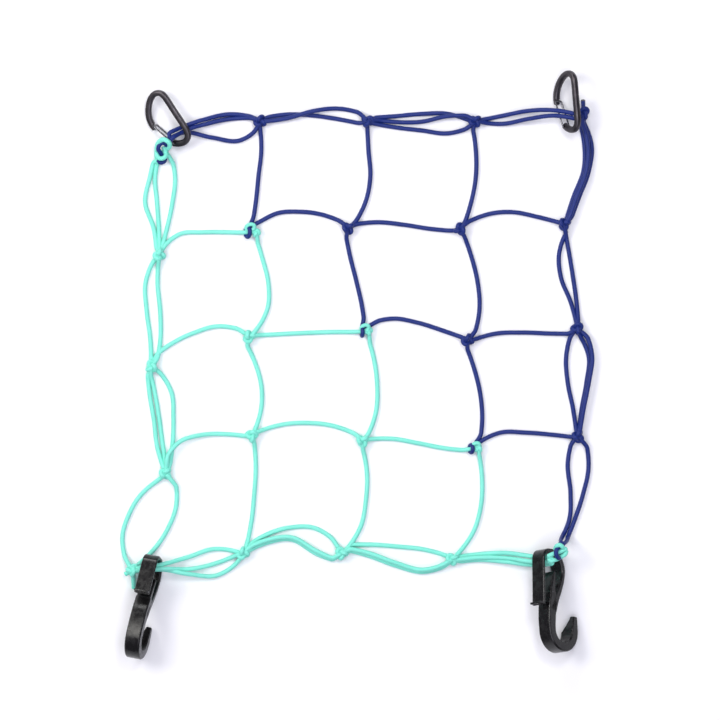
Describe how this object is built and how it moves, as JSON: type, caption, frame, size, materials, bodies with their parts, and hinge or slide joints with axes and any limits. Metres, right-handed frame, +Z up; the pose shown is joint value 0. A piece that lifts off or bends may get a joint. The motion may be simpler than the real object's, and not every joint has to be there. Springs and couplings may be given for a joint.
{
  "type": "elastic luggage net",
  "caption": "Elastic cord luggage net laid out flat, in blue and green halves, with wire-gate snap hooks at two corners and moulded hooks at the other two.",
  "frame": {"origin": "on the surface that the net lies on, under the middle of its outline", "axes": "+X to the right of the picture, +Y up the picture, from the moulded hooks to the snap hooks, +Z up from the surface"},
  "size_m": [0.4174, 0.5163, 0.0403],
  "materials": {
    "cord_blue": "woven polyester sheath over rubber",
    "cord_green": "woven polyester sheath over rubber",
    "bar": "dark anodised",
    "wire": "drawn wire",
    "hook": "moulded, glossy"
  },
  "bodies": {
    "net": {"net_blue": "cord_blue", "net_mint": "cord_green", "carabiner_left": "bar", "carabiner_right": "bar", "hook_left": "hook", "hook_right": "hook"},
    "left_gate": {"gate_left": "wire"},
    "right_gate": {"gate_right": "wire"}
  },
  "joints": [
    {"name": "left_gate_hinge", "type": "hinge", "parent": "net", "child": "left_gate", "pos_m": [-0.15983, 0.19472, 0.00715], "axis": [0.3532, 0.232, -0.9063], "range_deg": [0, 15], "stiffness_Nm_per_rad": 0.05, "springref_deg": -11.46},
    {"name": "right_gate_hinge", "type": "hinge", "parent": "net", "child": "right_gate", "pos_m": [0.18339, 0.20929, 0.00954], "axis": [0.7629, 0.0694, -0.6428], "range_deg": [0, 15], "stiffness_Nm_per_rad": 0.05, "springref_deg": -11.46}
  ]
}
